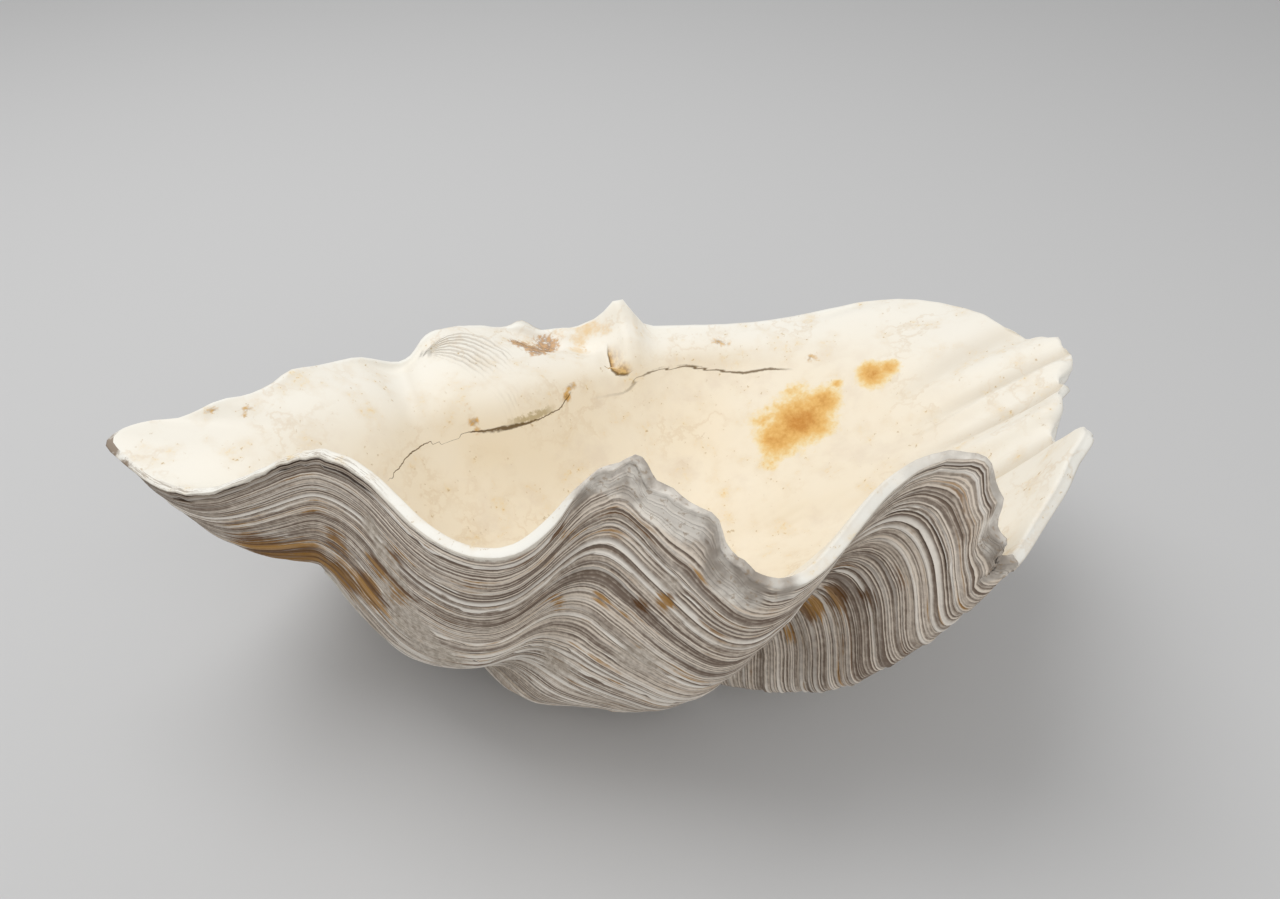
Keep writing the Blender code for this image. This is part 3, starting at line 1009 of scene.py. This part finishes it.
def clean_inner_look(grain, broken):
    """The inside: cream, yellower down in the bowl, with painted shade in the fold valleys, clouds,
    veins and specks.
    """
    inward = named("inward")
    deep = inward.rise(3.0, 11.0)
    look = blended(deep * (0.5 + grain.broad * 0.7), *TINTS.cream)
    look = blended(inward.rise(2.2, 0.8) * 0.8, look, TINTS.rim)
    look = blended(grain.medium.rise(0.46, 0.72) * 0.3, look, TINTS.mottled)
    # Painted shade darkens the valleys of the inner folds
    look = blended(named("fold_shade") * 0.55, look, TINTS.fold_shade)
    look = blended(named("grey_rim") * 0.8, look, broken)
    vein = abs(mottle(grain.place, 34.0, 5.0, 0.6) - 0.5).rise(0.03, 0.0) * grain.broad.rise(0.45, 0.62)
    look = blended(vein * 0.25, look, TINTS.vein)
    cloud = mottle(grain.place, 30.0, 5.0, 0.62).rise(0.5, 0.68)
    look = blended(cloud * deep * 0.4, look, TINTS.cloud)
    specks = grain.fine.rise(0.64, 0.70) * grain.medium.rise(0.46, 0.6)
    return blended(specks * 0.6, look, TINTS.speck)


def stained(look, grain):
    """The orange, ochre and brown stains of the inside, over its look."""
    orange = roughened(named("orange"), (grain.medium, 0.9), (grain.fine, 0.6))
    look = blended(orange.rise(0.08, 0.45) * 0.9, look, TINTS.pale_orange)
    look = blended(orange.rise(0.25, 0.75) * 0.9, look, TINTS.orange)
    look = blended(orange.rise(0.62, 1.15) * 0.9, look, TINTS.deep_orange)
    ochre = roughened(named("ochre"), (grain.fine, 1.3), (grain.medium, 0.8)).rise(0.2, 0.8)
    earth = blended(grain.fine.rise(0.4, 0.6), *TINTS.ochre)
    look = blended(ochre * 0.9, look, earth)
    socket = roughened(named("socket"), (grain.fine, 1.1), (grain.medium, 1.2)).rise(0.2, 1.0)
    look = blended(socket * 0.7, look, TINTS.socket)
    scab = roughened(named("scab"), (grain.fine, 2.2), (grain.medium, 1.2)).rise(0.1, 0.6)
    scab = scab * named("scab").rise(0.02, 0.3)
    crust = blended(grain.fine.rise(0.42, 0.58), *TINTS.crust)
    return blended(scab * 0.85, look, crust)


def pit_on(look, grain):
    """The golden pit beside the large tooth, with its dark lower edge."""
    side = roughened(named("pit_side"), (grain.fine, 1.2))
    ends = named("pit_along").within(-0.02, 0.25, 0.85, 1.05)
    filled = side.rise(-0.3, 0.4) * roughened(side, (grain.medium, 6.0)).rise(9.5, 1.5) * ends
    gold = blended(grain.fine.rise(0.4, 0.6), *TINTS.gold)
    look = blended(filled * 0.85, look, gold)
    edge = abs(side).rise(1.5, 0.3) * ends
    return blended(edge * 0.85, look, TINTS.pit_edge)


def crack_on(look, grain):
    """The crack over the bowl, wider in its middle and olive above its wide part."""
    side, along = named("crack_side"), named("crack_along")
    width = 0.28 + along.within(0.40, 0.55, 0.62, 0.75) * 0.8
    away = abs(roughened(side, (grain.medium, 2.4), (grain.fine, 1.6)))
    crack = (away / width).rise(1.5, 0.5) * along.within(-0.02, 0.04, 0.96, 1.02)
    olive = roughened(abs(side - 2.0), (grain.fine, 9.0)).rise(3.0, 0.5)
    olive = olive * along.within(0.55, 0.68, 0.78, 0.88)
    look = blended(olive * 0.6, look, TINTS.olive)
    return blended(crack * 0.9, look, TINTS.crack)


def seam_on(look, grain):
    """The dark line below the hinge plate."""
    side = roughened(named("hinge_side"), (grain.medium, 2.0), (grain.fine, 1.0))
    seam = abs(side).rise(1.2, 0.2) * named("hinge_along").within(0.0, 0.3, 0.9, 1.02)
    return blended(seam * 0.85, look, TINTS.seam)


def groove_of(grain):
    """How deep points lie in the grooves of the rolled lip."""
    across = roughened(named("lip_groove"), (grain.medium, 0.35)) * LIP_GROOVES
    groove = (across.maths("PINGPONG", 0.5) * 2).rise(0.3, 1.0)
    return groove * named("lip_near") * grain.broad.rise(0.3, 0.6)


def flakes_on(look, grain):
    """Brownish flakes on the rim of the spout."""
    inward = named("inward")
    on_rim = Shade.node("ShaderNodeCombineXYZ", X=inward * 3.0, Y=named("along") * 2.0, Z=grain.fine)
    flakes = mottle(on_rim, 1.3, 3.0, 0.6).rise(0.48, 0.6) * named("spout") * inward.rise(1.7, 0.7)
    return blended(flakes * 0.6, look, TINTS.flake)


def shell_look():
    """Grey growth lines outside, and cream, stained shell inside."""
    material = bpy.data.materials.new("shell_white")
    material.use_nodes = True
    Shade.tree = material.node_tree
    surface = material.node_tree.nodes["Principled BSDF"].inputs
    grain = make_grain()
    broken = broken_look(grain)
    groove = groove_of(grain)
    inner = stained(clean_inner_look(grain, broken), grain)
    inner = seam_on(crack_on(pit_on(inner, grain), grain), grain)
    # Painted shade darkens the grooves of the rolled lip
    inner = blended(groove * 0.35, inner, TINTS.lip_groove)
    inner = flakes_on(inner, grain)
    rim = named("inward").rise(0.02, 0.15)
    look = blended(rim, outer_look(grain), inner)
    worn = roughened(named("worn"), (grain.medium, 0.7)).rise(0.3, 0.55)
    look = blended(worn * 0.9, look, broken)
    dirt = roughened(named("tip_dirt"), (grain.fine, 1.2)).rise(0.3, 0.7)
    look = blended(dirt * 0.8, look, TINTS.tip_dirt)
    Shade.tree.links.new(look.socket, surface["Base Color"])
    rough = 0.9 - rim * (0.42 - 0.12 * grain.medium)
    Shade.tree.links.new(rough.socket, surface["Roughness"])
    surface["Metallic"].default_value = 0
    surface["Specular IOR Level"].default_value = 0.25
    outer_height = grain.lines * 0.2 + grain.fine_line * 0.45 + grain.fine * 0.3
    inner_height = grain.fine * 0.06 - groove * 0.8
    height = (1 - rim) * outer_height + rim * inner_height
    bumps = Shade.node("ShaderNodeBump", Strength=0.8, Distance=MM, Height=height)
    Shade.tree.links.new(bumps.socket, surface["Normal"])
    return material


def studio():
    """A plain pale floor, soft light from above and the camera of the photograph."""
    bpy.ops.mesh.primitive_plane_add(size=FLOOR_SIZE)
    ground = bpy.context.object
    ground.name = "floor"
    paper = bpy.data.materials.new("paper")
    paper.use_nodes = True
    surface = paper.node_tree.nodes["Principled BSDF"].inputs
    surface["Base Color"].default_value = FLOOR_COLOUR
    surface["Roughness"].default_value = 0.8
    ground.data.materials.append(paper)
    world = bpy.data.worlds.new("room")
    world.use_nodes = True
    sky = world.node_tree.nodes["Background"].inputs
    sky["Color"].default_value = (1, 1, 1, 1)
    sky["Strength"].default_value = ROOM_LIGHT
    bpy.context.scene.world = world
    bpy.context.scene.view_settings.view_transform = "Standard"
    for name, spot, size, energy in LIGHTS:
        lamp = bpy.data.lights.new(name, "AREA")
        light = bpy.data.objects.new(name, lamp)
        bpy.context.collection.objects.link(light)
        light.location = spot
        light.rotation_euler = Vector(spot).to_track_quat("Z", "Y").to_euler()
        lamp.size = size
        lamp.energy = energy
    lens = bpy.data.cameras.new("camera")
    camera = bpy.data.objects.new("camera", lens)
    bpy.context.collection.objects.link(camera)
    lens.lens = CAMERA_LENS
    camera.location = CAMERA_PLACE
    camera.rotation_euler = (CAMERA_TILT, 0, 0)
    bpy.context.scene.camera = camera


def main():
    shell = make_shell()
    shell.data.materials.append(shell_look())
    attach(shell, "root")
    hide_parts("shell")
    studio()


main()
